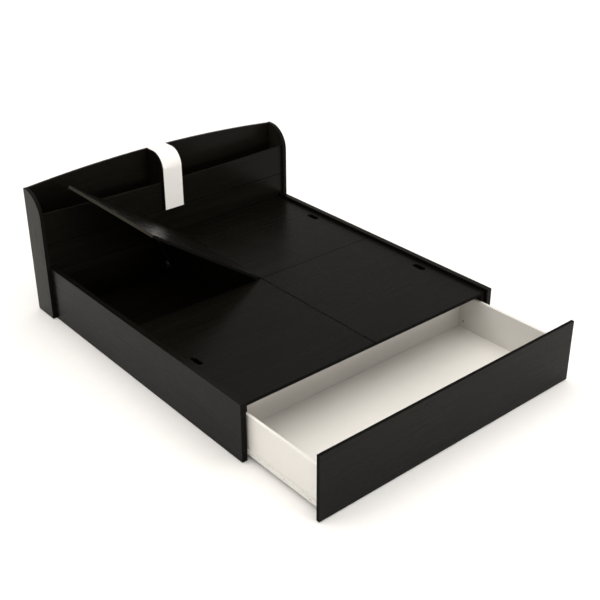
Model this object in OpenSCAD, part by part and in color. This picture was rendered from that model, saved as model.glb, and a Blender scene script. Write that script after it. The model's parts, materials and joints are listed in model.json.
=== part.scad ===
// Platform bed with lift-up storage lids, a full-width foot drawer and a pocket headboard.
// X runs across the bed, +Y towards the headboard, +Z up; the floor is z = 0.

/* [Bed] */
// Clear width between the side rails, for the mattress
inner_w = 1842; // [1840:1:1850]
// Thickness of the side rails
rail_t = 35; // [30:1:40]
// Height of the side rails' top edge above the floor
rail_h = 360; // [350:5:380]
// Length from the rails' foot ends to the headboard's front edge
bed_l = 1990; // [1985:5:2050]
// Height of the rails' lip above the mattress deck
lip = 20; // [15:1:30]

/* [Headboard] */
// Thickness of each headboard end panel
end_t = 25; // [18:1:36]
// Depth of the headboard, front to back
head_d = 190; // [180:5:200]
// Height of the headboard at its ends
head_h = 856; // [840:2:880]
// Rise of the back panel's arched top at its middle
arch_rise = 50; // [30:5:60]
// Radius of the rounded front-top corner of the end panels
end_r = 165; // [150:5:170]
// Height of the seam between the upper and lower front boards
seam_z = 510; // [480:5:520]
// Height of the pocket boards' top edge at the bed's sides
pocket_z = 724; // [700:2:740]
// Dip of the pocket boards' top edge at the bed's middle
pocket_dip = 20; // [5:1:40]
// Height of the pockets' floor
pocket_floor_z = 600; // [560:5:640]
// Width of the white centre band
band_w = 145; // [120:5:160]
// Radius of the white centre band's bend
band_r = 110; // [90:5:165]

/* [Lids] */
// Thickness of the lift-up lids
lid_t = 18; // [16:1:19]
// Distance from the foot ends to the lids' front edge
lid_front_y = 24; // [20:1:30]
// Distance from the foot ends to the line between front and rear lids
lid_split_y = 1044; // [1000:2:1060]
// Length of the finger slots
slot_l = 100; // [80:2:120]
// Width of the finger slots
slot_w = 42; // [30:1:50]
// Distance from the finger slots' middle to the lids' outer edge
slot_inset = 58; // [50:1:80]
// Opening angle of the rear left lid at rest
raised = 35; // [0:1:60]

/* [Drawer] */
// How far the drawer stands open at rest
pull = 580; // [0:1:600]
// Thickness of the drawer front
front_t = 20; // [18:1:25]
// Height of the drawer front's top edge
front_top = 394; // [380:2:400]
// Gap between the drawer front and the floor
front_gap = 6; // [5:1:12]
// Depth of the drawer box, front to back
box_l = 780; // [700:10:800]
// Height of the drawer sides' top edge
box_top = 275; // [240:1:276]
// Height of the drawer sides' bottom edge
box_bottom = 30; // [28:1:32]

/* [Hidden] */
// Finish colours of the model
wenge = [0.15, 0.14, 0.12];
white = [0.93, 0.92, 0.90];
steel = [0.55, 0.56, 0.58];
black = [0.10, 0.10, 0.11];
nylon = [0.80, 0.80, 0.78];

$fn = 48;
arc_steps = 48;       // straight steps along the headboard's shallow arcs
cut = 1;              // how far a cutter passes a face
board_t = 18;         // panels of the carcass, headboard and drawer box
glide_t = 4;          // floor glides
reveal = 1;           // gap that a shut drawer front leaves at the rails
seat_gap = 0.3;       // air under a shut lid
lid_play = 3;         // gap between a lid and its rail
lower_seam = 4;       // shadow gap under the upper boards

// Main faces of the bed
inner_x = inner_w / 2;
outer_x = inner_x + rail_t;
deck_z = rail_h - lip;
seat_z = deck_z - lid_t - seat_gap;
face_set = 20;                       // headboard boards behind the end panels' front edge
face_y = bed_l + face_set;           // front face of the headboard boards
back_y = bed_l + head_d;             // rear face of the headboard
closed_y = -reveal;                  // drawer front's inner face when shut
foot_y = pull + reveal + front_t - (pull + reveal + front_t + back_y) / 2;

// Headboard's centre band and the ribs beside it
rib_t = 8;
band_t = 8;
rib_set = 1.5;                       // ribs stand this far behind the band's face
rib_x = band_w / 2 + rib_t;

// Lids and hinges
hinge_gap = 3.5;                     // from the hinge axis to a lid's inner edge
cross_gap = 4;                       // between front and rear lids
lid_edge_x = inner_x - lid_play;
front_lid = [lid_front_y, lid_split_y - cross_gap / 2];
rear_lid = [lid_split_y + cross_gap / 2, face_y - cross_gap];
front_slot_y = 515;                  // middle of the front lids' finger slots
rear_slot_y = 1550;                  // middle of the rear lids' finger slots
pin_r = 1.5;
pin_bore_r = 1.55;
knuckle_r = 3;
knuckle_l = 12;
knuckle_gap = 0.3;
knuckles = 5;                        // odd ones are the frame's, even ones the lid's
hinge_l = knuckles * knuckle_l;
leaf_t = 1.2;
leaf_clear = 0.3;
leaf_depth = 16;                     // of the leaf on a lid's edge
kerf_t = 1.6;
kerf_depth = 24;
kerf_play = 0.5;                     // air at either end of a fixed leaf
hinge_starts = [90, 440, 790];       // hinge starts along a lid, from its front edge
left_shift = 70;                     // left lids' hinges stand this much further back

// Inner framework
core_t = 36;                         // partition, spine and bearer
core_x = core_t / 2;
part_y = lid_split_y - core_t / 2;
ledger_w = 25;
ledger_h = 40;
bearer_h = 42;
tube_h = 25;
tube_w = 50;
tube_wall = 2;
tube_y = 50;
bin_floor_t = 12;
cleat_h = 16;
cleat_w = 20;
bin_floor_z = glide_t + cleat_h;
glide_r = 12;                        // under the rails, partition and spine
glide_end_r = 10;                    // under the end panels
glide_back_r = 8;                    // under the back panel
glide_set = 40;                      // glides' middle from the ends of the board above
angle_t = 2;                         // steel angles in the inner corners
angle_l = 40;
angle_h = 60;
angle_z = 150;
screw_set = 15;                      // screws from an angle's top and bottom edge
screw_reach = 26;                    // screws from the inner corner
screw_r = 4;
screw_t = 2;

// Gas struts: both pivots stand strut_r from the hinge axis, so a strut turns half as far as its lid
strut_r = 250;
strut_drop = 36;                     // lid pivot below the deck
strut_span = 65;                     // angle between the two pivots with the lid shut
strut_tilt = asin(strut_drop / strut_r);
strut_off = 40;                      // strut's plane in front of the wall behind it
lift_body_l = 230;
lift_rod_l = 250;
lift_body_r = 9;
lift_bore_r = 7.5;
lift_rod_r = 4;
lift_rod_bore_r = 4.06;
piston_r = 7.44;
piston_l = 12;
tube_start = 16;                     // closed end of the tube's bore
tube_cap = 8;
plate_t = 3;                         // pressed bracket plates
stud_r = 4;
stud_bore_r = 4.06;
stud_head_r = 6.5;
stud_head_t = 2;
stud_play = 0.4;                     // air on either side of an eye
eye_r = 8;
eye_t = 10;
eye_root = 2;                        // how far a tube or rod reaches into its eye
foot_plate = [20, 30];               // half width and half height of the fixed plate
head_plate = [25, 20];               // half length and front reach of the plate under a lid
head_flange = [12, 10];              // half length and drop of the flange with the stud

// Drawer box and its roller runners
runner_gap = 12.5;                   // between a drawer side and its rail
box_x = inner_x - runner_gap;
bottom_t = 8;
bottom_z = 38;
groove = 8;
bottom_end = box_l - board_t + groove;
runner_t = 1.2;
roller_r = 10.5;
roller_w = 6;
roller_bore_r = 2.55;
axle_r = 2.5;
axle_head_r = 4;
axle_head_t = 0.8;
roller_play = 0.5;                   // air between a roller and its runner
channel_z = 36;                      // underside of the fixed channel
channel_h = 24;
channel_front = 3;
front_roller = [16, 51];             // y and z of the fixed roller
channel_start = front_roller[0] + roller_r + 6;
channel_end = box_l + 20;
rear_roller_back = 15;               // moving roller in front of the drawer's back
rear_roller = [box_l - rear_roller_back, channel_z + channel_h / 2];
flange_play = 0.3;                   // air between the moving flange and the fixed roller
rail_flange_z = front_roller[1] + roller_r + flange_play;
runner_front = 2;
cam_r = 7.5;
cam_play = 0.05;
cam_d = 12;
cam_set = 34;                        // cams from a drawer side's ends
cam_low = 60;                        // lower cams above the side's bottom edge
cam_high = 50;                       // upper cams below its top edge
slot_cut = [3, 2, 10];               // screwdriver slot in a cam

// ---- placing ----

// Puts the foot ends of the rails at foot_y, so the whole bed stands over the origin
module bed_frame() translate([0, foot_y, 0]) children();

// The left half of the bed is the right half mirrored
module side(s) mirror([s < 0 ? 1 : 0, 0, 0]) children();

// A board given by its lowest and highest corners
module board(low, high) translate(low) cube(high - low);

// Turns a lid and what is on it about the hinge axis
module lift(angle) translate([0, 0, deck_z]) rotate([0, -angle, 0]) translate([0, 0, -deck_z]) children();

// ---- headboard ----

// Outline in Y and Z: upright back, rounded front-top corner
module end_outline(front, top, bottom, bend = end_r) {
  radius = bend + bed_l - front;
  union() {
    translate([front + radius, bottom]) square([back_y - front - radius, top - bottom]);
    translate([front, bottom]) square([radius + cut, top - radius - bottom]);
    intersection() {
      translate([front + radius, top - radius]) circle(r = radius, $fn = 180);
      translate([front, top - radius - cut]) square([radius + cut, radius + cut]);
    }
  }
}

// Extrudes an outline drawn in Y and Z along X
module along_x(low, high) translate([low, 0, 0]) rotate([90, 0, 90]) linear_extrude(high - low) children();

// Extrudes an outline drawn in X and Z along Y
module along_y(low, high) translate([0, high, 0]) rotate([90, 0, 0]) linear_extrude(high - low) children();

// Height at x of a shallow arc that spans the bed and rises in its middle
function arc_z(x, rise) =
  let (r = (outer_x * outer_x + rise * rise) / (2 * rise)) sqrt(r * r - x * x) - r + rise;
// Points along that arc, with a negative rise for a dip
function arc_points(low, high, z, rise) =
  [for (i = [0:arc_steps]) let (x = low + (high - low) * i / arc_steps)
    [x, z + sign(rise) * arc_z(x, abs(rise))]];

module end_panel(s)
  side(s) color(wenge) along_x(outer_x, outer_x + end_t) end_outline(bed_l, head_h, glide_t);

module back_panel() color(wenge) along_y(back_y - board_t, back_y) difference() {
  polygon(concat([[outer_x, glide_t], [-outer_x, glide_t]],
                 arc_points(-outer_x, outer_x, head_h, arch_rise)));
  translate([-band_w / 2, head_h + arch_rise - band_t]) square([band_w, band_t + cut]);
}

module upper_board(s) side(s) color(wenge) along_y(face_y, face_y + board_t)
  polygon(concat([[outer_x, seam_z], [rib_x, seam_z]], arc_points(rib_x, outer_x, pocket_z, -pocket_dip)));

module lower_board() color(wenge)
  board([-outer_x, face_y, glide_t], [outer_x, face_y + board_t, seam_z - lower_seam]);

module pocket_floor(s) side(s) color(wenge)
  board([rib_x, face_y + board_t, pocket_floor_z - board_t],
        [outer_x, back_y - board_t, pocket_floor_z]);

module divider_rib(s) side(s) color(wenge) intersection() {
  along_x(band_w / 2, rib_x) end_outline(bed_l + rib_set, head_h + arch_rise - rib_set, seam_z, band_r);
  board([0, bed_l, seam_z], [outer_x, back_y - board_t, head_h + arch_rise]);
}

module white_band() color(white) along_x(-band_w / 2, band_w / 2) difference() {
  end_outline(bed_l, head_h + arch_rise, seam_z, band_r);
  translate([0, -cut]) end_outline_core();
}

// What the band leaves free behind its sheet: the band's outline, one thickness smaller
module end_outline_core() {
  radius = band_r - band_t;
  top = head_h + arch_rise - band_t;
  translate([bed_l + band_t + radius, seam_z]) square([head_d, top - seam_z + cut]);
  translate([bed_l + band_t, seam_z]) square([radius + cut, top - radius - seam_z + cut]);
  intersection() {
    translate([bed_l + band_t + radius, top - radius + cut]) circle(r = radius, $fn = 180);
    translate([bed_l + band_t, top - radius]) square([radius + cut, radius + 2 * cut]);
  }
}

// ---- carcass ----

module side_rail(s) side(s) color(wenge)
  board([inner_x, 0, glide_t], [outer_x, face_y, rail_h]);

// One kerf in the board under the hinge line for each fixed hinge leaf
module kerfs(low, high) for (y = all_hinges()) if (y > low && y < high)
  board([-kerf_t / 2, y - kerf_play, seat_z - kerf_depth],
        [kerf_t / 2, y + hinge_l + kerf_play, seat_z + cut]);

function lid_hinges(range, s) = [for (y = hinge_starts) range[0] + y + (s < 0 ? left_shift : 0)];
function all_hinges() =
  concat(lid_hinges(front_lid, 1), lid_hinges(front_lid, -1),
         lid_hinges(rear_lid, 1), lid_hinges(rear_lid, -1));

module centre_spine() color(wenge) difference() {
  board([-core_x, part_y + core_t, glide_t], [core_x, face_y, seat_z]);
  kerfs(part_y, face_y);
}

module centre_bearer() color(wenge) difference() {
  board([-core_x, tube_y + tube_w, seat_z - bearer_h], [core_x, part_y, seat_z]);
  kerfs(0, part_y);
}

module mid_partition() color(wenge)
  board([-inner_x, part_y, glide_t], [inner_x, part_y + core_t, seat_z]);

module front_stretcher() color(black) difference() {
  board([ledger_w - inner_x, tube_y, seat_z - tube_h], [inner_x - ledger_w, tube_y + tube_w, seat_z]);
  board([-inner_x, tube_y + tube_wall, seat_z - tube_h + tube_wall],
        [inner_x, tube_y + tube_w - tube_wall, seat_z - tube_wall]);
}

module side_ledger(s) side(s) color(wenge) for (y = [[lid_front_y, part_y], [part_y + core_t, face_y]])
  board([inner_x - ledger_w, y[0], seat_z - ledger_h], [inner_x, y[1], seat_z]);

module head_ledger(s) side(s) color(wenge)
  board([core_x, face_y - ledger_w, seat_z - ledger_h], [inner_x - ledger_w, face_y, seat_z]);

module bin_floor(s) side(s) color(wenge)
  board([core_x, part_y + core_t, bin_floor_z], [inner_x, face_y, bin_floor_z + bin_floor_t]);

module bin_cleat(s) side(s) color(wenge)
  for (x = [core_x, (core_x + inner_x - cleat_w) / 2, inner_x - cleat_w])
    board([x, part_y + core_t, glide_t], [x + cleat_w, face_y, bin_floor_z]);

// Floor glides stand under the rails, end panels, partition, spine and back panel
module glide(x, y, r) color(nylon) translate([x, y, 0]) cylinder(h = glide_t, r = r);
module floor_glides() {
  for (s = [-1, 1]) {
    for (y = [glide_set, bed_l / 3, bed_l * 2 / 3, bed_l - glide_set])
      glide(s * (inner_x + rail_t / 2), y, glide_r);
    for (y = [bed_l + glide_set, back_y - glide_set]) glide(s * (outer_x + end_t / 2), y, glide_end_r);
    for (x = [300, 700]) glide(s * x, part_y + core_t / 2, glide_r);
    glide(s * 500, back_y - board_t / 2, glide_back_r);
  }
  for (y = [part_y + 300, face_y - 200]) glide(0, y, glide_r);
}

// Steel angles in the inner corners, each with a leg on either wall
module corner_angle(x, y, sx, sy) color(steel) translate([x, y, angle_z])
  mirror([sx < 0 ? 1 : 0, 0, 0]) mirror([0, sy < 0 ? 1 : 0, 0]) union() {
    cube([angle_l, angle_t, angle_h]);
    cube([angle_t, angle_l, angle_h]);
  }
// Corners as [x, y, direction of one leg, direction of the other]
function corners() = [for (s = [-1, 1])
  each [[s * inner_x, part_y, -s, -1], [s * inner_x, part_y + core_t, -s, 1],
        [s * inner_x, face_y, -s, -1], [s * core_x, part_y + core_t, s, 1]]];
module corner_brackets() for (c = corners()) corner_angle(c[0], c[1], c[2], c[3]);

module bracket_screws() color(steel)
  for (c = corners(), z = [angle_z + screw_set, angle_z + angle_h - screw_set]) {
    translate([c[0] + c[2] * screw_reach, c[1] + c[3] * angle_t, z])
      rotate([c[3] > 0 ? -90 : 90, 0, 0]) cylinder(h = screw_t, r = screw_r);
    translate([c[0] + c[2] * angle_t, c[1] + c[3] * screw_reach, z])
      rotate([0, c[2] > 0 ? 90 : -90, 0]) cylinder(h = screw_t, r = screw_r);
  }

// ---- lids and their hinges ----

module lid(s, range, slot_y, angle) side(s) color(wenge) lift(angle) difference() {
  board([hinge_gap, range[0], deck_z - lid_t], [lid_edge_x, range[1], deck_z]);
  translate([lid_edge_x - slot_inset, slot_y, deck_z - lid_t - cut]) {
    for (e = [-1, 1]) translate([0, e * (slot_l - slot_w) / 2, 0])
      cylinder(h = lid_t + 2 * cut, d = slot_w);
    translate([-slot_w / 2, -(slot_l - slot_w) / 2, 0])
      cube([slot_w, slot_l - slot_w, lid_t + 2 * cut]);
  }
}

// Knuckles of one hinge: the first is 0 for the frame's leaf, 1 for the lid's
module hinge_knuckles(first, bore) for (k = [first:2:knuckles - 1])
  translate([0, k * knuckle_l + knuckle_gap / 2, deck_z]) rotate([-90, 0, 0]) difference() {
    cylinder(h = knuckle_l - knuckle_gap, r = knuckle_r);
    translate([0, 0, -cut]) cylinder(h = knuckle_l + 2 * cut, r = bore);
  }

// Tabs that join the knuckles to their leaf
module hinge_tabs(first, x, low, high) for (k = [first:2:knuckles - 1])
  board([x, k * knuckle_l + knuckle_gap / 2, low],
        [x + leaf_t, (k + 1) * knuckle_l - knuckle_gap / 2, high]);

module lid_leaf(y) translate([0, y, 0]) {
  x = hinge_gap - leaf_t;
  shoulder = deck_z - knuckle_r - leaf_clear;
  difference() {
    union() {
      hinge_knuckles(1, pin_bore_r);
      hinge_tabs(1, x, shoulder - cut, deck_z);
      board([x, 0, deck_z - leaf_depth], [x + leaf_t, hinge_l, shoulder]);
    }
    translate([0, -cut, deck_z]) rotate([-90, 0, 0]) cylinder(h = hinge_l + 2 * cut, r = pin_bore_r);
  }
}

module frame_leaf(y) translate([0, y, 0]) {
  x = -leaf_t / 2;
  shoulder = deck_z - knuckle_r - leaf_clear;
  difference() {
    union() {
      hinge_knuckles(0, pin_r);
      hinge_tabs(0, x, shoulder - cut, deck_z - pin_r);
      board([x, 0, seat_z - kerf_depth], [x + leaf_t, hinge_l, shoulder]);
    }
    translate([0, -cut, deck_z]) rotate([-90, 0, 0]) cylinder(h = hinge_l + 2 * cut, r = pin_r);
  }
}

module lid_leaves(s, range, angle) side(s) color(steel) lift(angle)
  for (y = lid_hinges(range, s)) lid_leaf(y);

module hinge_frame_leaves() color(steel) for (y = all_hinges()) frame_leaf(y);

module hinge_pins() color(steel) for (y = all_hinges())
  translate([0, y, deck_z]) rotate([-90, 0, 0]) cylinder(h = hinge_l, r = pin_r);

// ---- gas struts, drawn for the right half ----

function strut_foot() = [strut_r * cos(strut_tilt + strut_span), -strut_r * sin(strut_tilt + strut_span)];
function strut_heading(angle) = 90 - strut_tilt - strut_span / 2 + angle / 2;
function strut_len(angle) = 2 * strut_r * sin((strut_span + angle) / 2);
function wall_y(range) = range[1] < face_y - ledger_w ? part_y : face_y;
function strut_y(range) = wall_y(range) - strut_off;

// Puts a strut's foot at the origin and its length along X
module on_strut(range, angle) {
  foot = strut_foot();
  translate([foot[0], strut_y(range), deck_z + foot[1]])
    rotate([0, -strut_heading(angle), 0]) children();
}

// A cylinder along Y
module cross_cylinder(low, high, r)
  translate([0, high, 0]) rotate([90, 0, 0]) cylinder(h = high - low, r = r);

module strut_eye() difference() {
  cross_cylinder(-eye_t / 2, eye_t / 2, eye_r);
  cross_cylinder(-eye_t, eye_t, stud_bore_r);
}

// A cylinder along X
module rod_along(low, high, r) translate([low, 0, 0]) rotate([0, 90, 0]) cylinder(h = high - low, r = r);

module strut_body(s, range, angle) side(s) color(black) on_strut(range, angle) {
  strut_eye();
  difference() {
    rod_along(eye_r - eye_root, lift_body_l, lift_body_r);
    rod_along(tube_start, lift_body_l - tube_cap, lift_bore_r);
    rod_along(lift_body_l - tube_cap - cut, lift_body_l + cut, lift_rod_bore_r);
    cross_cylinder(-lift_body_r - cut, lift_body_r + cut, stud_head_r + stud_play);
  }
}

module strut_rod(s, range, angle) side(s) color(steel) on_strut(range, angle)
  translate([strut_len(angle), 0, 0]) {
    strut_eye();
    rod_along(piston_l - lift_rod_l, eye_root - eye_r, lift_rod_r);
    rod_along(-lift_rod_l, piston_l - lift_rod_l, piston_r);
  }

// Stud that an eye turns on, with a flat head in front and a shoulder behind
module stud(length) {
  reach = eye_t / 2 + stud_play;
  cross_cylinder(-reach, reach, stud_r);
  cross_cylinder(-reach - stud_head_t, -reach, stud_head_r);
  cross_cylinder(reach, length, stud_head_r);
}

module frame_bracket(s, range) side(s) color(steel) {
  foot = strut_foot();
  translate([foot[0], strut_y(range), deck_z + foot[1]]) {
    stud(strut_off - plate_t);
    board([-foot_plate[0], strut_off - plate_t, -foot_plate[1]], [foot_plate[0], strut_off, foot_plate[1]]);
  }
}

module lid_bracket(s, range, angle) side(s) color(steel) lift(angle) {
  pivot_x = strut_r * cos(strut_tilt);
  flange_y = eye_t / 2 + 2 * stud_play;
  translate([pivot_x, strut_y(range), deck_z - strut_drop]) {
    stud(flange_y);
    board([-head_flange[0], flange_y, -head_flange[1]],
          [head_flange[0], flange_y + plate_t, strut_drop - lid_t]);
    board([-head_plate[0], -head_plate[1], strut_drop - lid_t - plate_t],
          [head_plate[0], flange_y + plate_t, strut_drop - lid_t]);
  }
}

// ---- drawer, drawn shut and moved out by pull ----

module pulled() translate([0, closed_y - pull, 0]) children();

module drawer_front() color(wenge) pulled()
  board([-outer_x, -front_t, front_gap], [outer_x, 0, front_top]);

// Middles of the cam fittings on a drawer side, as [y, z]
function cam_places() =
  [for (y = [cam_set, box_l - board_t - cam_set], z = [box_bottom + cam_low, box_top - cam_high]) [y, z]];

module cam_cylinders(r, before) for (c = cam_places())
  translate([box_x - board_t - before, c[0], c[1]]) rotate([0, 90, 0]) cylinder(h = cam_d + before, r = r);

module drawer_side(s) side(s) color(white) pulled() difference() {
  board([box_x - board_t, 0, box_bottom], [box_x, box_l, box_top]);
  board([box_x - board_t - cut, -cut, bottom_z],
        [box_x - board_t + groove, bottom_end, bottom_z + bottom_t]);
  cam_cylinders(cam_r + cam_play, cut);
}

module drawer_cams() for (s = [-1, 1]) side(s) color(steel) pulled() difference() {
  cam_cylinders(cam_r, 0);
  for (c = cam_places())
    translate([box_x - board_t - cut, c[0] - slot_cut[1] / 2, c[1] - slot_cut[2] / 2]) cube(slot_cut);
}

module drawer_back() color(white) pulled() difference() {
  board([board_t - box_x, box_l - board_t, box_bottom], [box_x - board_t, box_l, box_top]);
  board([-box_x, box_l - board_t - cut, bottom_z], [box_x, bottom_end, bottom_z + bottom_t]);
}

module drawer_bottom() color(white) pulled()
  board([board_t - groove - box_x, 0, bottom_z],
        [box_x - board_t + groove, bottom_end, bottom_z + bottom_t]);

// Axle on a runner, with a flat head that keeps the roller on
module axle(root, tip, y, z) translate([root, y, z]) {
  turn = tip > root ? 90 : -90;
  rotate([0, turn, 0]) cylinder(h = abs(tip - root), r = axle_r);
  translate([tip - root, 0, 0]) rotate([0, turn, 0]) cylinder(h = axle_head_t, r = axle_head_r);
}

module roller(x, y, z) translate([x, y, z]) rotate([0, 90, 0]) difference() {
  cylinder(h = roller_w, r = roller_r);
  translate([0, 0, -cut]) cylinder(h = roller_w + 2 * cut, r = roller_bore_r);
}

// Channel on the rail, open towards the drawer, behind the fixed roller
module fixed_runner(s) side(s) color(white) {
  web_x = inner_x - runner_t;
  lip_x = box_x + 2;
  board([web_x, channel_front, channel_z], [inner_x, channel_end, channel_z + channel_h]);
  board([lip_x, channel_front, channel_z], [inner_x, channel_end, channel_z + runner_t]);
  board([lip_x, channel_start, channel_z + channel_h - runner_t],
        [inner_x, channel_end, channel_z + channel_h]);
  axle(web_x, web_x - roller_w - 1, front_roller[0], front_roller[1]);
}
module fixed_roller(s) side(s) color(nylon)
  roller(inner_x - runner_t - roller_w - roller_play, front_roller[0], front_roller[1]);

// Angle on the drawer side: a foot under it, a web beside it and a flange that rides on the fixed roller
module drawer_runner(s) side(s) color(white) pulled() {
  board([box_x - board_t, runner_front, box_bottom - runner_t], [box_x + runner_t, box_l, box_bottom]);
  board([box_x, runner_front, box_bottom - runner_t],
        [box_x + runner_t, box_l, rail_flange_z + runner_t]);
  board([box_x, runner_front, rail_flange_z], [inner_x - lid_play, box_l, rail_flange_z + runner_t]);
  axle(box_x + runner_t, box_x + runner_t + roller_w + 1, rear_roller[0], rear_roller[1]);
}
module drawer_roller(s) side(s) color(nylon) pulled()
  roller(box_x + runner_t + roller_play, rear_roller[0], rear_roller[1]);

// ---- nodes ----

bed_frame() side_rail(-1);  // left_side_rail
bed_frame() side_rail(1);  // right_side_rail
bed_frame() end_panel(-1);  // headboard_left_end
bed_frame() end_panel(1);  // headboard_right_end
bed_frame() back_panel();  // headboard_back_panel
bed_frame() for (s = [-1, 1]) upper_board(s);  // headboard_upper_boards
bed_frame() lower_board();  // headboard_lower_board
bed_frame() for (s = [-1, 1]) pocket_floor(s);  // pocket_floors
bed_frame() for (s = [-1, 1]) divider_rib(s);  // headboard_divider_ribs
bed_frame() white_band();  // headboard_white_band
bed_frame() centre_spine();
bed_frame() mid_partition();
bed_frame() front_stretcher();
bed_frame() centre_bearer();
bed_frame() side_ledger(-1);  // left_ledger
bed_frame() side_ledger(1);  // right_ledger
bed_frame() for (s = [-1, 1]) head_ledger(s);  // head_ledgers
bed_frame() bin_floor(-1);  // left_bin_floor
bed_frame() bin_floor(1);  // right_bin_floor
bed_frame() for (s = [-1, 1]) bin_cleat(s);  // bin_cleats
bed_frame() floor_glides();
bed_frame() corner_brackets();
bed_frame() bracket_screws();
bed_frame() hinge_frame_leaves();
bed_frame() hinge_pins();
bed_frame()  // strut_frame_brackets
  for (s = [-1, 1], range = [front_lid, rear_lid]) frame_bracket(s, range);
bed_frame() fixed_runner(-1);  // left_fixed_runner
bed_frame() fixed_runner(1);  // right_fixed_runner
bed_frame() fixed_roller(-1);  // left_fixed_roller
bed_frame() fixed_roller(1);  // right_fixed_roller
bed_frame() drawer_front();
bed_frame() drawer_side(-1);  // drawer_left_side
bed_frame() drawer_side(1);  // drawer_right_side
bed_frame() drawer_back();
bed_frame() drawer_bottom();
bed_frame() drawer_cams();
bed_frame() drawer_runner(-1);  // left_drawer_runner
bed_frame() drawer_runner(1);  // right_drawer_runner
bed_frame() drawer_roller(-1);  // left_drawer_roller
bed_frame() drawer_roller(1);  // right_drawer_roller
bed_frame() lid(-1, front_lid, front_slot_y, 0);  // front_left_lid
bed_frame() lid(1, front_lid, front_slot_y, 0);  // front_right_lid
bed_frame() lid(-1, rear_lid, rear_slot_y, raised);  // rear_left_lid
bed_frame() lid(1, rear_lid, rear_slot_y, 0);  // rear_right_lid
bed_frame() lid_leaves(-1, front_lid, 0);  // front_left_hinge_leaves
bed_frame() lid_leaves(1, front_lid, 0);  // front_right_hinge_leaves
bed_frame() lid_leaves(-1, rear_lid, raised);  // rear_left_hinge_leaves
bed_frame() lid_leaves(1, rear_lid, 0);  // rear_right_hinge_leaves
bed_frame() lid_bracket(-1, front_lid, 0);  // front_left_strut_bracket
bed_frame() lid_bracket(1, front_lid, 0);  // front_right_strut_bracket
bed_frame() lid_bracket(-1, rear_lid, raised);  // rear_left_strut_bracket
bed_frame() lid_bracket(1, rear_lid, 0);  // rear_right_strut_bracket
bed_frame() strut_body(-1, front_lid, 0);  // front_left_strut_body
bed_frame() strut_body(1, front_lid, 0);  // front_right_strut_body
bed_frame() strut_body(-1, rear_lid, raised);  // rear_left_strut_body
bed_frame() strut_body(1, rear_lid, 0);  // rear_right_strut_body
bed_frame() strut_rod(-1, front_lid, 0);  // front_left_strut_rod
bed_frame() strut_rod(1, front_lid, 0);  // front_right_strut_rod
bed_frame() strut_rod(-1, rear_lid, raised);  // rear_left_strut_rod
bed_frame() strut_rod(1, rear_lid, 0);  // rear_right_strut_rod
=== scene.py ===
"""Platform bed with lift-up lids and a foot drawer: looks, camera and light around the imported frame."""
import json
import math

import bmesh
import bpy
from mathutils import Matrix, Vector


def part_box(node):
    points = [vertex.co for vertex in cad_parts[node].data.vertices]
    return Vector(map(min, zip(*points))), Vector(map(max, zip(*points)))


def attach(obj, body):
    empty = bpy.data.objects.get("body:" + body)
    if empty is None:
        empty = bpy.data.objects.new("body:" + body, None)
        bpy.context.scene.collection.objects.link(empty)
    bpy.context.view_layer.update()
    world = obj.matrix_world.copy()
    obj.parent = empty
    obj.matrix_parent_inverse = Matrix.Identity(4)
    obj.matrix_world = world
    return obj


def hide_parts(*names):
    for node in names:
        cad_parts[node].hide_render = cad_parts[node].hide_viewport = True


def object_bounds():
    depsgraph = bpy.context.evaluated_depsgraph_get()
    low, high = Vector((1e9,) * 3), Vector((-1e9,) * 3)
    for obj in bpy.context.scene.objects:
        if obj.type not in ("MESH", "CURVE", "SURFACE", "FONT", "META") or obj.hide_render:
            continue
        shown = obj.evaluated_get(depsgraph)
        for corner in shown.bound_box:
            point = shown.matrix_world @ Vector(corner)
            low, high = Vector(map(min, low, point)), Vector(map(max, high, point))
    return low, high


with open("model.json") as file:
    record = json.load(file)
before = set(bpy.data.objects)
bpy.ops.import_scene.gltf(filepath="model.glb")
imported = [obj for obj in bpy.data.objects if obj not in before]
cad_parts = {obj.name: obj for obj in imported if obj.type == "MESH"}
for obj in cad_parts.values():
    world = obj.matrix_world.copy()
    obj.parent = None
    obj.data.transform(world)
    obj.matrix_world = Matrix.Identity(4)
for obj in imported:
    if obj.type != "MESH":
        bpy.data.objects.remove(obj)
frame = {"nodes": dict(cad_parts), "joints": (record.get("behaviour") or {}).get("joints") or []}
cad_low, cad_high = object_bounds()
NODES = frame["nodes"]

# ---------------------------------------------------------------- measures from the frame

DECK_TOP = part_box("rear_right_lid")[1].z
FLOOR = cad_low.z
LIDS = ("front_left", "front_right", "rear_left", "rear_right")
JOINTS = {j["name"]: j for j in frame["joints"]}


def raised_angle(lid):
    """How far a lid stands open at rest: its hinge's lowest value is the way back to shut."""
    return math.radians(-JOINTS[f"{lid}_lid_hinge"]["range_deg"][0])


# ---------------------------------------------------------------- node helpers


def set_range(node, low, high, to_low, to_high):
    """Sets the four ends of a Map Range node."""
    ends = {"From Min": low, "From Max": high, "To Min": to_low, "To Max": to_high}
    for socket, value in ends.items():
        node.inputs[socket].default_value = value


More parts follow.
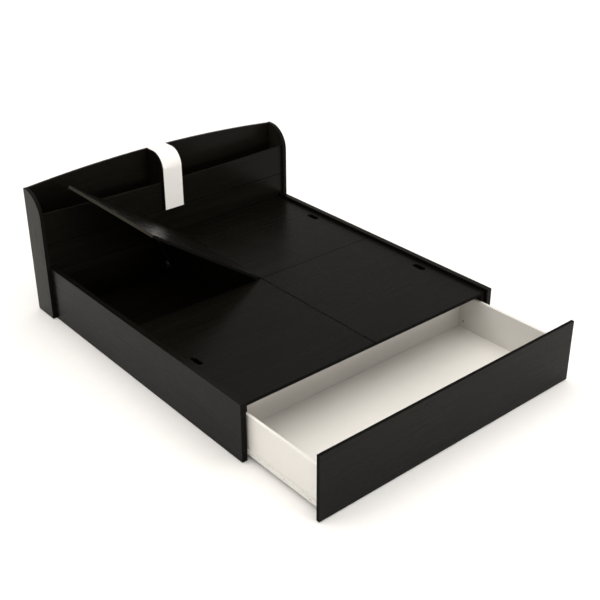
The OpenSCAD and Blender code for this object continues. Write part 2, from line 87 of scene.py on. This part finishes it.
class Nodes:
    """A material's node tree, with short calls for the nodes that the materials share."""

    def __init__(self, name):
        self.material = bpy.data.materials.new(name)
        self.material.use_nodes = True
        self.tree = self.material.node_tree
        self.tree.nodes.clear()
        self.shader = self.add("ShaderNodeBsdfPrincipled")
        out = self.add("ShaderNodeOutputMaterial")
        self.link(self.shader.outputs["BSDF"], out.inputs["Surface"])

    def add(self, kind, **values):
        node = self.tree.nodes.new(kind)
        for key, value in values.items():
            setattr(node, key, value)
        return node

    def link(self, source, target):
        self.tree.links.new(source, target)

    def put(self, target, value):
        """Sets a socket to a number or colour, or links it to another socket."""
        if isinstance(value, bpy.types.NodeSocket):
            self.link(value, target)
        else:
            target.default_value = value

    def coords(self, scale):
        """Object coordinates in metres, times one number or one for each axis."""
        if isinstance(scale, (int, float)):
            scale = (scale, scale, scale)
        place = self.add("ShaderNodeTexCoord").outputs["Object"]
        return self.mapping(place, scale=scale)

    def mapping(self, vector, location=(0, 0, 0), rotation=(0, 0, 0), scale=(1, 1, 1)):
        node = self.add("ShaderNodeMapping", vector_type="POINT")
        node.inputs["Location"].default_value = location
        node.inputs["Rotation"].default_value = rotation
        node.inputs["Scale"].default_value = scale
        self.link(vector, node.inputs["Vector"])
        return node.outputs["Vector"]

    def noise(self, vector, scale=1.0, detail=4.0, roughness=0.55, distortion=0.0):
        node = self.add("ShaderNodeTexNoise")
        self.link(vector, node.inputs["Vector"])
        node.inputs["Scale"].default_value = scale
        node.inputs["Detail"].default_value = detail
        node.inputs["Roughness"].default_value = roughness
        node.inputs["Distortion"].default_value = distortion
        return node.outputs["Fac"]

    def split(self, vector):
        node = self.add("ShaderNodeSeparateXYZ")
        self.link(vector, node.inputs["Vector"])
        return node.outputs

    def ramp(self, value, low, high, to_low=0.0, to_high=1.0):
        node = self.add("ShaderNodeMapRange", clamp=True)
        self.link(value, node.inputs["Value"])
        set_range(node, low, high, to_low, to_high)
        return node.outputs["Result"]

    def math(self, operation, first, second=None):
        node = self.add("ShaderNodeMath", operation=operation)
        self.put(node.inputs[0], first)
        if second is not None:
            self.put(node.inputs[1], second)
        return node.outputs["Value"]

    def mix(self, factor, first, second):
        node = self.add("ShaderNodeMix", data_type="RGBA")
        self.put(node.inputs["Factor"], factor)
        self.put(node.inputs["A"], first)
        self.put(node.inputs["B"], second)
        return node.outputs["Result"]

    def bump(self, height, strength, distance):
        node = self.add("ShaderNodeBump")
        node.inputs["Strength"].default_value = strength
        node.inputs["Distance"].default_value = distance
        self.link(height, node.inputs["Height"])
        return node.outputs["Normal"]

    def edge_mask(self, radius):
        """1 on outer edges, 0 on flat faces: where a rounded normal leaves the true one."""
        bevel = self.add("ShaderNodeBevel", samples=4)
        bevel.inputs["Radius"].default_value = radius
        true = self.add("ShaderNodeNewGeometry").outputs["Normal"]
        dot = self.add("ShaderNodeVectorMath", operation="DOT_PRODUCT")
        self.link(bevel.outputs["Normal"], dot.inputs[0])
        self.link(true, dot.inputs[1])
        return self.ramp(dot.outputs["Value"], 1.0, 0.86)


def rgb(r, g, b):
    """A colour given in sRGB, 0 to 255, as linear RGBA."""
    def linear(v):
        v /= 255
        return v / 12.92 if v <= 0.04045 else ((v + 0.055) / 1.055) ** 2.4
    return (linear(r), linear(g), linear(b), 1.0)


# ---------------------------------------------------------------- materials

AXES = "XYZ"
END_GRAIN = 0.6          # how squarely a face looks along the grain before it counts as an end
FACING = 0.30, 0.55      # how squarely a face looks along an axis: not at all, and fully


def along(axis, run, across):
    """Texture scale for a grain that runs along one axis."""
    return tuple(run if a == axis else across for a in AXES)


def grain_place(n, axis, end_axis, turn):
    """Object coordinates whose grain axis changes to end_axis on faces that look along the grain.

    turn lays a board that stands open back on the deck, about the hinge line. The normal, turned the
    same way, comes back too."""
    place = n.add("ShaderNodeTexCoord")
    point, normal = place.outputs["Object"], place.outputs["Normal"]
    if turn:
        point = n.mapping(point, location=(0, 0, -DECK_TOP))
        point = n.mapping(point, rotation=(0, turn, 0))
        normal = n.mapping(normal, rotation=(0, turn, 0))
    facing = n.split(normal)[axis]
    on_end = n.math("GREATER_THAN", n.math("ABSOLUTE", facing), END_GRAIN)
    parts = n.split(point)
    swapped = n.add("ShaderNodeCombineXYZ")
    swap = {axis: end_axis, end_axis: axis}
    for a in AXES:
        n.link(parts[swap.get(a, a)], swapped.inputs[a])
    chosen = n.add("ShaderNodeMix", data_type="VECTOR")
    n.link(on_end, chosen.inputs["Factor"])
    vector_sockets = [s for s in chosen.inputs if s.type == "VECTOR" and s.name in "AB"]
    n.link(point, vector_sockets[0])
    n.link(swapped.outputs["Vector"], vector_sockets[1])
    return next(s for s in chosen.outputs if s.type == "VECTOR"), normal


def looks_along(n, normal, axes):
    """1 on the faces whose normal lies along one of the axes, 0 on the others."""
    total = 0.0
    for axis in axes:
        total = n.math("ADD", n.ramp(n.math("ABSOLUTE", n.split(normal)[axis]), *FACING), total)
    return n.math("MINIMUM", total, 1.0)


WENGE_ROUGH = 0.27
WENGE_SPECULAR = 0.07    # weak, so that the white floor shows in the board only as a low sheen


def wenge(name, axis, end_axis, turn=0.0, dark_edge_axes="", sheen_side=0, depth=0.75,
          dark=rgb(6, 5, 4), light=rgb(24, 21, 16)):
    """Near-black wenge laminate with straight fibres, open pores and a satin skin.

    The grain runs along axis, and along end_axis on the board's ends. dark_edge_axes names the axes
    along which edges look near black: a dull black edge band, and painted shade for the gaps between
    boards and the edges in shade; depth says how dark it is. sheen_side is the side, -1 or 1 along X,
    whose edge is painted paler as a painted sheen of the light it catches, or 0."""
    n = Nodes(name)
    point, normal = grain_place(n, axis, end_axis, turn)

    def flow(run, across):
        return n.mapping(point, scale=along(axis, run, across))

    bands = n.noise(flow(0.5, 9.0), detail=3, distortion=0.5)
    streaks = n.noise(flow(1.3, 75.0), detail=5, roughness=0.62, distortion=0.2)
    fibres = n.noise(flow(4.0, 260.0), detail=4, roughness=0.65, distortion=0.1)
    pores = n.ramp(n.noise(flow(30.0, 700.0), detail=2), 0.57, 0.70)
    tone = n.math("MULTIPLY", n.ramp(bands, 0.32, 0.68), 0.20)
    tone = n.math("ADD", tone, n.math("MULTIPLY", n.ramp(streaks, 0.36, 0.64), 0.42))
    tone = n.math("ADD", tone, n.math("MULTIPLY", n.ramp(fibres, 0.36, 0.66), 0.38))
    colour = n.mix(tone, dark, light)
    colour = n.mix(n.math("MULTIPLY", pores, 0.6), colour, rgb(5, 5, 4))
    colour = n.mix(n.math("MULTIPLY", n.edge_mask(0.0016), 0.12), colour, rgb(84, 78, 67))
    # painted sheen: the mask for the edge on the bed's side, which is painted paler for the light it
    # catches and keeps no black edge band
    painted_sheen = n.ramp(n.math("MULTIPLY", n.split(normal)["X"], float(sheen_side)), *FACING)
    # painted shade: edges along the listed axes go near black, a dull black edge band that also paints
    # the shade of the gaps between boards and of shaded edges
    edge_banding_and_shade = n.math("MULTIPLY", n.math("SUBTRACT", looks_along(n, normal, dark_edge_axes), painted_sheen), depth)
    colour = n.mix(edge_banding_and_shade, colour, rgb(4, 4, 3))
    # painted sheen: a paler colour on that side edge
    colour = n.mix(n.math("MULTIPLY", painted_sheen, 0.8), colour, rgb(48, 45, 38))
    n.link(colour, n.shader.inputs["Base Color"])
    handling = n.ramp(n.noise(n.coords(2.2), detail=3), 0.35, 0.7, -0.04, 0.05)
    rough_tone = n.math("MULTIPLY", n.math("SUBTRACT", 0.5, tone), 0.10)
    roughness = n.math("ADD", n.math("ADD", handling, rough_tone), n.math("MULTIPLY", pores, 0.15))
    roughness = n.math("ADD", roughness, n.math("MULTIPLY", edge_banding_and_shade, 0.6))
    n.link(n.math("ADD", roughness, WENGE_ROUGH), n.shader.inputs["Roughness"])
    n.shader.inputs["Specular IOR Level"].default_value = WENGE_SPECULAR
    relief = n.math("SUBTRACT", n.math("MULTIPLY", fibres, 0.5), pores)
    n.link(n.bump(relief, 0.22, 0.0004), n.shader.inputs["Normal"])
    return n.material


def melamine(name, base, rough=0.38):
    """White faced board: a faint pearl texture, slight unevenness and soiled edges."""
    n = Nodes(name)
    cloud = n.ramp(n.noise(n.coords(1.6), detail=3), 0.3, 0.7)
    tint = tuple(c * 0.94 for c in base[:3]) + (1,)
    colour = n.mix(cloud, base, tint)
    scuffs = n.ramp(n.noise(n.coords((38, 38, 5)), detail=6, roughness=0.7), 0.66, 0.78)
    colour = n.mix(n.math("MULTIPLY", scuffs, 0.16), colour, rgb(168, 160, 148))
    colour = n.mix(n.math("MULTIPLY", n.edge_mask(0.0012), 0.30), colour, rgb(150, 143, 130))
    n.link(colour, n.shader.inputs["Base Color"])
    grit = n.noise(n.coords(900), detail=2)
    n.link(n.ramp(grit, 0.3, 0.7, rough - 0.05, rough + 0.07), n.shader.inputs["Roughness"])
    n.shader.inputs["Specular IOR Level"].default_value = 0.35
    n.link(n.bump(grit, 0.08, 0.0002), n.shader.inputs["Normal"])
    return n.material


def metal(name, base, rough=0.32):
    """Plated or polished steel: fine drawing lines, cloudy plating and brighter edges."""
    n = Nodes(name)
    lines = n.noise(n.coords(along("X", 40.0, 1500.0)), detail=3)
    cloud = n.noise(n.coords(60), detail=4)
    dull = tuple(0.78 * c for c in base[:3]) + (1,)
    colour = n.mix(n.ramp(cloud, 0.35, 0.65), base, dull)
    colour = n.mix(n.math("MULTIPLY", n.edge_mask(0.0006), 0.7), colour, rgb(205, 205, 205))
    n.link(colour, n.shader.inputs["Base Color"])
    n.shader.inputs["Metallic"].default_value = 1.0
    n.link(n.ramp(lines, 0.3, 0.7, rough - 0.08, rough + 0.10), n.shader.inputs["Roughness"])
    n.link(n.bump(lines, 0.12, 0.0001), n.shader.inputs["Normal"])
    return n.material


def coated(name, base, worn, rough, grain=420.0, wear=0.35, gloss=0.5):
    """Paint, powder coat or moulded plastic: orange-peel skin, dust and rubbed edges."""
    n = Nodes(name)
    skin = n.noise(n.coords(grain), detail=2)
    dust = n.ramp(n.noise(n.coords(22), detail=5, roughness=0.65), 0.5, 0.75)
    colour = n.mix(n.math("MULTIPLY", dust, 0.12), base, worn)
    colour = n.mix(n.math("MULTIPLY", n.edge_mask(0.0008), wear), colour, worn)
    n.link(colour, n.shader.inputs["Base Color"])
    n.link(n.ramp(skin, 0.3, 0.7, rough - 0.06, rough + 0.08), n.shader.inputs["Roughness"])
    n.shader.inputs["Specular IOR Level"].default_value = gloss
    n.link(n.bump(skin, 0.15, 0.0003), n.shader.inputs["Normal"])
    return n.material


def opening_turn(lid):
    """Angle about +Y that raises a lid from the deck to where it stands at rest."""
    return (1 if "left" in lid else -1) * raised_angle(lid)


DEEP = dict(dark=rgb(4, 4, 3), light=rgb(18, 16, 12))


def lid_wenge(lid):
    """A lid's wenge: grain as on the shut deck, edges darkened near black as an edge band and painted
    shade, and a painted sheen on the edge at the bed's side.
    """
    outer = -1 if "left" in lid else 1
    return wenge(f"wenge_{lid}_lid", "X", "Y", -opening_turn(lid), dark_edge_axes="XY", sheen_side=outer, **DEEP)


LID_WENGE = {lid: lid_wenge(lid) for lid in LIDS}
WENGE_ACROSS = wenge("wenge_across", "X", "Z")
WENGE_FRONT = wenge("wenge_front", "X", "Z", dark_edge_axes="XZ", **DEEP)
WENGE_LENGTHWISE = wenge("wenge_lengthwise", "Y", "Z", dark_edge_axes="Y", depth=0.4,
                         dark=rgb(5, 5, 4), light=rgb(20, 17, 14))
WENGE_UPRIGHT = wenge("wenge_upright", "Z", "Y", dark_edge_axes="YZ",
                      dark=rgb(13, 12, 10), light=rgb(44, 40, 34))
WHITE_BOARD = melamine("white_melamine", rgb(226, 223, 217))
WHITE_BAND = melamine("white_laminate", rgb(246, 243, 238), rough=0.30)
ZINC = metal("zinc_plated_steel", rgb(176, 178, 180))
ROD = metal("polished_rod", rgb(200, 200, 202), rough=0.16)
EPOXY = coated("white_epoxy", rgb(226, 225, 219), worn=rgb(170, 166, 158), rough=0.36, wear=0.3)
BLACK = coated("black_coat", rgb(16, 16, 17), worn=rgb(70, 70, 70), rough=0.42, gloss=0.3)
BLACKENED = coated("blackened_steel", rgb(9, 9, 8), worn=rgb(30, 29, 27), rough=0.60,
                   wear=0.2, gloss=0.08)
RUBBER = coated("black_rubber", rgb(26, 26, 25), worn=rgb(52, 52, 50), rough=0.66,
                grain=1400.0, wear=0.15, gloss=0.2)
NYLON = coated("moulded_nylon", rgb(215, 213, 204), worn=rgb(150, 146, 136), rough=0.5,
               grain=900.0, wear=0.2)

# ---------------------------------------------------------------- CAD nodes: finish and rounded edges

UPRIGHT = ("headboard_left_end", "headboard_right_end")
LENGTHWISE = ("left_side_rail", "right_side_rail", "centre_spine", "centre_bearer",
              "left_ledger", "right_ledger", "bin_cleats")
DRAWER_BOARDS = ("drawer_left_side", "drawer_right_side", "drawer_back", "drawer_bottom")
BOARD_EDGE, LID_EDGE = 0.0009, 0.0005    # metres, the width of a rounded edge


def finish_of(node):
    """The material of a CAD node, and whether it is board that takes a rounded edge."""
    if node.endswith("_lid"):
        return LID_WENGE[node.removesuffix("_lid")], True
    if node in UPRIGHT:
        return WENGE_UPRIGHT, True
    if node in LENGTHWISE:
        return WENGE_LENGTHWISE, True
    if node == "headboard_white_band":
        return WHITE_BAND, True
    if node in DRAWER_BOARDS:
        return WHITE_BOARD, True
    if node == "drawer_front":
        return WENGE_FRONT, True
    if "hinge" in node:
        return BLACKENED, False
    if node == "front_stretcher" or node.endswith("_strut_body"):
        return BLACK, False
    if node == "floor_glides":
        return NYLON, False
    if node.endswith("_runner"):
        return EPOXY, False
    if node.endswith("_strut_rod"):
        return ROD, False
    if any(word in node for word in ("bracket", "cams")):
        return ZINC, False
    return WENGE_ACROSS, True


def round_edges(obj, width):
    """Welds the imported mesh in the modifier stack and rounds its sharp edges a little."""
    weld = obj.modifiers.new("weld", "WELD")
    weld.merge_threshold = 0.00002
    bevel = obj.modifiers.new("rounded edges", "BEVEL")
    bevel.width = width
    bevel.segments = 2
    bevel.limit_method = "ANGLE"
    bevel.angle_limit = math.radians(50)


def finish_nodes():
    """Gives every CAD node its material, and every board its rounded edges."""
    for node, obj in NODES.items():
        material, is_board = finish_of(node)
        obj.data.materials.clear()
        obj.data.materials.append(material)
        if is_board:
            round_edges(obj, LID_EDGE if node.endswith("_lid") else BOARD_EDGE)


# ---------------------------------------------------------------- small fittings, built as meshes

PLATE = 0.003                       # metres, a pressed bracket plate
SCREW_R, SCREW_H = 0.0034, 0.0018   # a screw's head
RUNNER_SHEET = 0.0012               # the runners' steel sheet
RUNNER_SCREW_H = 0.0013             # a flatter head, for the gap beside the drawer
RUNNER_SCREWS = (0.12, 0.38, 0.64, 0.90)    # their places, as shares of the runner's length
FRAME_INSET, LID_INSET = 0.006, 0.0055      # from a strut plate's edges to its screws
BUMPERS = (0.2, 0.8)                # their places, as shares of the rail's height
SHARP = 38                          # degrees, an edge that stays crisp in a smooth piece


def solids(node):
    """Boxes (lowest, highest corner) of a node's separate solids, in order of place.

    A node may hold several solids. Each is what its first corner reaches along edges."""
    work = bmesh.new()
    work.from_mesh(NODES[node].data)
    bmesh.ops.remove_doubles(work, verts=work.verts, dist=0.00001)
    found, seen = [], set()
    for first in work.verts:
        if first in seen:
            continue
        seen.add(first)
        stack, points = [first], []
        while stack:
            vert = stack.pop()
            points.append(vert.co.copy())
            for edge in vert.link_edges:
                other = edge.other_vert(vert)
                if other not in seen:
                    seen.add(other)
                    stack.append(other)
        found.append((Vector([min(p[i] for p in points) for i in range(3)]),
                      Vector([max(p[i] for p in points) for i in range(3)])))
    work.free()
    return sorted(found, key=lambda b: tuple(round(v, 4) for v in b[0]))


def stand(place, axis):
    """Matrix that stands a fitting, modelled along Z, on a place and along an axis."""
    turn = Vector(axis).to_track_quat("Z", "Y").to_matrix().to_4x4()
    return Matrix.Translation(Vector(place)) @ turn


def add_rings(work, rings, matrix, closed=False):
    """Skins rings of points into a closed surface, or into a loop of rings where closed is set."""
    loops = [[work.verts.new(matrix @ Vector(p)) for p in ring] for ring in rings]
    count = len(loops[0])
    pairs = list(zip(loops, loops[1:])) + ([(loops[-1], loops[0])] if closed else [])
    for lower, upper in pairs:
        for i in range(count):
            j = (i + 1) % count
            work.faces.new((lower[i], lower[j], upper[j], upper[i]))
    if not closed:
        work.faces.new(list(reversed(loops[0])))
        work.faces.new(loops[-1])


def turned(work, profile, matrix, steps=32, closed=False):
    """A turned body: profile is (radius, height) pairs from bottom to top."""
    angles = [2 * math.pi * i / steps for i in range(steps)]
    rings = [[(r * math.cos(a), r * math.sin(a), z) for a in angles] for r, z in profile]
    add_rings(work, rings, matrix, closed)


def screw_head(work, place, axis, radius, height):
    """A pan head with a cross recess, whose arms are 2 * half wide and end at reach."""
    half, reach = 0.13 * radius, 0.55 * radius
    corner = math.atan2(half, reach)
    quarter = (0, corner, math.radians(29), math.radians(45), math.radians(61), math.pi / 2 - corner)
    angles = [q * math.pi / 2 + a for q in range(4) for a in quarter]

    def cross(angle):
        folded = angle % (math.pi / 2)
        folded = min(folded, math.pi / 2 - folded)
        return min(reach / math.cos(folded), half / max(math.sin(folded), 1e-6))

    def ring(size, z):
        return [(size(a) * math.cos(a), size(a) * math.sin(a), z) for a in angles]

    dome = ((1.0, 0.0), (1.0, 0.30), (0.93, 0.62), (0.78, 0.88), (0.64, 1.0))
    rings = [ring(lambda a, k=k: k * radius, z * height) for k, z in dome]
    rings.append(ring(cross, height))
    rings.append(ring(lambda a: 0.82 * cross(a), 0.30 * height))
    add_rings(work, rings, stand(place, axis))


def piece(name, work, material, body, replaced=None):
    """Turns a bmesh into a shown piece that rides on a CAD body, perhaps in the place of a node."""
    mesh = bpy.data.meshes.new(name)
    bmesh.ops.recalc_face_normals(work, faces=work.faces)
    work.to_mesh(mesh)
    work.free()
    for polygon in mesh.polygons:
        polygon.use_smooth = True
    mesh.set_sharp_from_angle(angle=math.radians(SHARP))
    mesh.materials.append(material)
    obj = bpy.data.objects.new(name, mesh)
    bpy.context.scene.collection.objects.link(obj)
    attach(obj, body)
    if replaced:
        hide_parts(replaced)


def corner_bracket_screws():
    """Cross-recessed heads in the place of the plain ones on the corner angles."""
    work = bmesh.new()
    angles = [(low + high) / 2 for low, high in solids("corner_brackets")]
    for low, high in solids("bracket_screws"):
        middle, size = (low + high) / 2, high - low
        axis = min(range(3), key=lambda i: size[i])
        angle = min(angles, key=lambda a: (a - middle).length)
        outward = Vector((0, 0, 0))
        outward[axis] = 1 if angle[axis] > middle[axis] else -1
        seat = middle - outward * size[axis] / 2
        screw_head(work, seat, outward, size[(axis + 1) % 3] / 2, size[axis])
    piece("corner_bracket_screws", work, ZINC, "frame", "bracket_screws")


def strut_plate_screws():
    """Four heads on each gas strut's fixed plate."""
    work = bmesh.new()
    for low, high in solids("strut_frame_brackets"):
        for x in (low.x + FRAME_INSET, high.x - FRAME_INSET):
            for z in (low.z + FRAME_INSET, high.z - FRAME_INSET):
                screw_head(work, (x, high.y - PLATE, z), (0, -1, 0), SCREW_R, SCREW_H)
    piece("strut_plate_screws", work, ZINC, "frame")


def lid_matrix(lid):
    """Carries a point on the shut lid to where the lid stands at rest."""
    hinge = Matrix.Translation((0, 0, DECK_TOP))
    return hinge @ Matrix.Rotation(opening_turn(lid), 4, "Y") @ hinge.inverted()


def lid_bracket_screws(lid):
    """Four heads under the plate that holds a gas strut to its lid."""
    work = bmesh.new()
    raise_lid = lid_matrix(lid)
    lower_lid = raise_lid.inverted()
    points = [lower_lid @ v.co for v in NODES[f"{lid}_strut_bracket"].data.vertices]
    low = Vector([min(p[i] for p in points) for i in range(3)])
    high = Vector([max(p[i] for p in points) for i in range(3)])
    down = raise_lid.to_3x3() @ Vector((0, 0, -1))
    for x in (low.x + LID_INSET, high.x - LID_INSET):
        for y in (low.y + LID_INSET, high.y - PLATE - LID_INSET):
            place = raise_lid @ Vector((x, y, high.z - PLATE))
            screw_head(work, place, down, SCREW_R, SCREW_H)
    piece(f"{lid}_bracket_screws", work, ZINC, f"{lid}_lid")


def runner_screws(side, runner, body):
    """A row of heads along a drawer runner's web, in the gap between drawer and rail."""
    work = bmesh.new()
    low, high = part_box(f"{side}_{runner}_runner")
    out = -1 if side == "left" else 1
    if runner == "fixed":
        web = (high.x if out > 0 else low.x) - out * RUNNER_SHEET
        facing, middle = -out, (low.z + high.z) / 2
    else:
        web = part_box(f"drawer_{side}_side")[1 if out > 0 else 0].x + out * RUNNER_SHEET
        facing, middle = out, (low.z + high.z) / 2 + RUNNER_SHEET
    for share in RUNNER_SCREWS:
        y = low.y + share * (high.y - low.y)
        screw_head(work, (web, y, middle), (facing, 0, 0), SCREW_R, RUNNER_SCREW_H)
    piece(f"{side}_{runner}_runner_screws", work, ZINC, body)


def roller(side, where):
    """A moulded wheel with a hub, a sunk web and eased rims, in the place of a plain one."""
    node = f"{side}_{where}_roller"
    low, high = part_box(node)
    middle, size = (low + high) / 2, high - low
    radius, half = size.y / 2, size.x / 2
    bore, hub, web = 0.243 * radius, 0.46 * radius, 0.80 * radius
    sunk, lip = 0.62 * half, 0.16 * half
    near_side = [(bore, -half), (hub, -half), (hub + lip, -sunk), (web, -sunk),
                 (web + lip, -half), (radius - lip, -half), (radius, lip - half)]
    profile = near_side + [(r, -z) for r, z in reversed(near_side)]
    work = bmesh.new()
    turned(work, profile, stand(middle, (1, 0, 0)), steps=48, closed=True)
    piece(f"{node}_moulded", work, NYLON, f"{node}_wheel", node)


def strut_seal(lid):
    """Black end cap that closes a gas strut's cylinder round its rod."""
    foot, head = (Vector(JOINTS[f"{lid}_strut_{end}"]["pos_m"]) for end in ("foot", "head"))
    line = (head - foot).normalized()
    reach = max((v.co - foot).dot(line) for v in NODES[f"{lid}_strut_body"].data.vertices)
    bore, rim, length = 0.0044, 0.0086, 0.0066
    profile = [(bore, 0.0), (rim, 0.0), (rim, 0.0022), (0.0078, 0.0032), (0.0060, 0.0036),
               (0.0056, 0.0060), (0.0050, length), (bore, length)]
    work = bmesh.new()
    turned(work, profile, stand(foot + line * reach, line), steps=40, closed=True)
    piece(f"{lid}_strut_seal", work, RUBBER, f"{lid}_strut_cylinder")


def foot_bumpers():
    """Small rubber domes on the rails' foot ends, which a shut drawer front meets."""
    work = bmesh.new()
    dome = [(0.0045, 0.0), (0.0045, 0.0002), (0.0040, 0.0005), (0.0028, 0.0007), (0.0012, 0.0008)]
    for rail in ("left_side_rail", "right_side_rail"):
        low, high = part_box(rail)
        for share in BUMPERS:
            place = ((low.x + high.x) / 2, low.y, low.z + share * (high.z - low.z))
            turned(work, dome, stand(place, (0, -1, 0)), steps=24)
    piece("foot_bumpers", work, RUBBER, "frame")


def make_fittings():
    """Makes every piece that the CAD leaves out or shows too plainly."""
    corner_bracket_screws()
    strut_plate_screws()
    foot_bumpers()
    for lid in LIDS:
        lid_bracket_screws(lid)
        strut_seal(lid)
    for side in ("left", "right"):
        runner_screws(side, "fixed", "frame")
        runner_screws(side, "drawer", "drawer")
        for where in ("fixed", "drawer"):
            roller(side, where)


# ---------------------------------------------------------------- stage, light and camera

FLOOR_REACH = 60                             # metres, from the origin to the floor's edges
FLOOR_TONES = (0.91, 0.90, 0.885, 1), (0.895, 0.885, 0.87, 1)
WORLD_COLOUR = (1, 0.975, 0.94, 1)
# Strength of the world's light: from which height to which, out of 1 at the top, and its two ends
DOME = 0.55, 0.90, 0.42, 2.15
BACKDROP = 0.12, 0.26, 0.64, 0.0
# Softboxes: place from the middle of the CAD box and size in metres, and power in watts
KEY = dict(offset=Vector((-4.5, 1.6, 3.6)), size=(3.0, 3.0), power=45)
FILL = dict(offset=Vector((1.5, -7.2, 1.1)), size=(3.0, 1.8), power=230)

HEADING, DIP, ROLL = 40.01, 27.00, 0.26      # degrees: turned from +Y towards +X, looking down, tilted
DISTANCE = 6.097                             # metres, from the camera to the point looked at
AIM_SHIFT = Vector((0.070, -0.036, 0.034))   # that point, from the middle of the CAD box
LENS, SENSOR = 60.74, 36                     # millimetres
SHIFT = -0.050                               # the picture sits a little below the lens axis


def softbox(name, aim, offset, size, power):
    """A soft rectangular studio light that stands off a point and faces it."""
    data = bpy.data.lights.new(name, "AREA")
    data.shape = "RECTANGLE"
    data.size, data.size_y = size
    data.energy = power
    obj = bpy.data.objects.new(name, data)
    bpy.context.scene.collection.objects.link(obj)
    obj.location = aim + offset
    obj.rotation_mode = "QUATERNION"
    obj.rotation_quaternion = (-offset).to_track_quat("-Z", "Y")
    obj.visible_camera = False


def make_floor():
    """A wide pale floor with a very faint cast of texture."""
    n = Nodes("pale_floor")
    speck = n.ramp(n.noise(n.coords(14), detail=4), 0.3, 0.7)
    n.link(n.mix(speck, *FLOOR_TONES), n.shader.inputs["Base Color"])
    n.shader.inputs["Roughness"].default_value = 0.7
    n.shader.inputs["Specular IOR Level"].default_value = 0.2
    mesh = bpy.data.meshes.new("floor")
    quarters = ((-1, -1), (1, -1), (1, 1), (-1, 1))
    corners = [(x * FLOOR_REACH, y * FLOOR_REACH, FLOOR) for x, y in quarters]
    mesh.from_pydata(corners, [], [(0, 1, 2, 3)])
    mesh.materials.append(n.material)
    floor = bpy.data.objects.new("floor", mesh)
    bpy.context.scene.collection.objects.link(floor)


def make_world():
    """A soft dome, bright overhead like a ceiling softbox, over a pale backdrop round the horizon."""
    world = bpy.data.worlds.new("studio")
    world.use_nodes = True
    bpy.context.scene.world = world
    nodes, links = world.node_tree.nodes, world.node_tree.links
    height = nodes.new("ShaderNodeSeparateXYZ")
    links.new(nodes.new("ShaderNodeTexCoord").outputs["Generated"], height.inputs["Vector"])
    total = nodes.new("ShaderNodeMath")
    total.operation = "ADD"
    for target, ends in zip(total.inputs, (DOME, BACKDROP)):
        part = nodes.new("ShaderNodeMapRange")
        part.interpolation_type = "SMOOTHSTEP"
        set_range(part, *ends)
        links.new(height.outputs["Z"], part.inputs["Value"])
        links.new(part.outputs["Result"], target)
    background = nodes["Background"]
    background.inputs["Color"].default_value = WORLD_COLOUR
    links.new(total.outputs["Value"], background.inputs["Strength"])


def make_camera(middle):
    """The camera stands off the foot's left corner and looks down on the bed."""
    data = bpy.data.cameras.new("camera")
    data.lens, data.sensor_width, data.shift_y = LENS, SENSOR, SHIFT
    obj = bpy.data.objects.new("camera", data)
    bpy.context.scene.collection.objects.link(obj)
    turn = (Matrix.Rotation(math.radians(-HEADING), 4, "Z")
            @ Matrix.Rotation(math.radians(90 - DIP), 4, "X")
            @ Matrix.Rotation(math.radians(-ROLL), 4, "Z"))
    view = turn.to_3x3() @ Vector((0, 0, -1))
    obj.location = middle + AIM_SHIFT - view * DISTANCE
    obj.rotation_mode = "QUATERNION"
    obj.rotation_quaternion = turn.to_quaternion()
    bpy.context.scene.camera = obj


def make_stage():
    """The floor, the light and the camera, set out from the middle of the CAD box."""
    middle = (cad_low + cad_high) / 2
    make_floor()
    make_world()
    make_camera(middle)
    softbox("key", middle, **KEY)
    softbox("fill", middle, **FILL)
    bpy.context.scene.view_settings.view_transform = "Standard"


finish_nodes()
make_fittings()
make_stage()
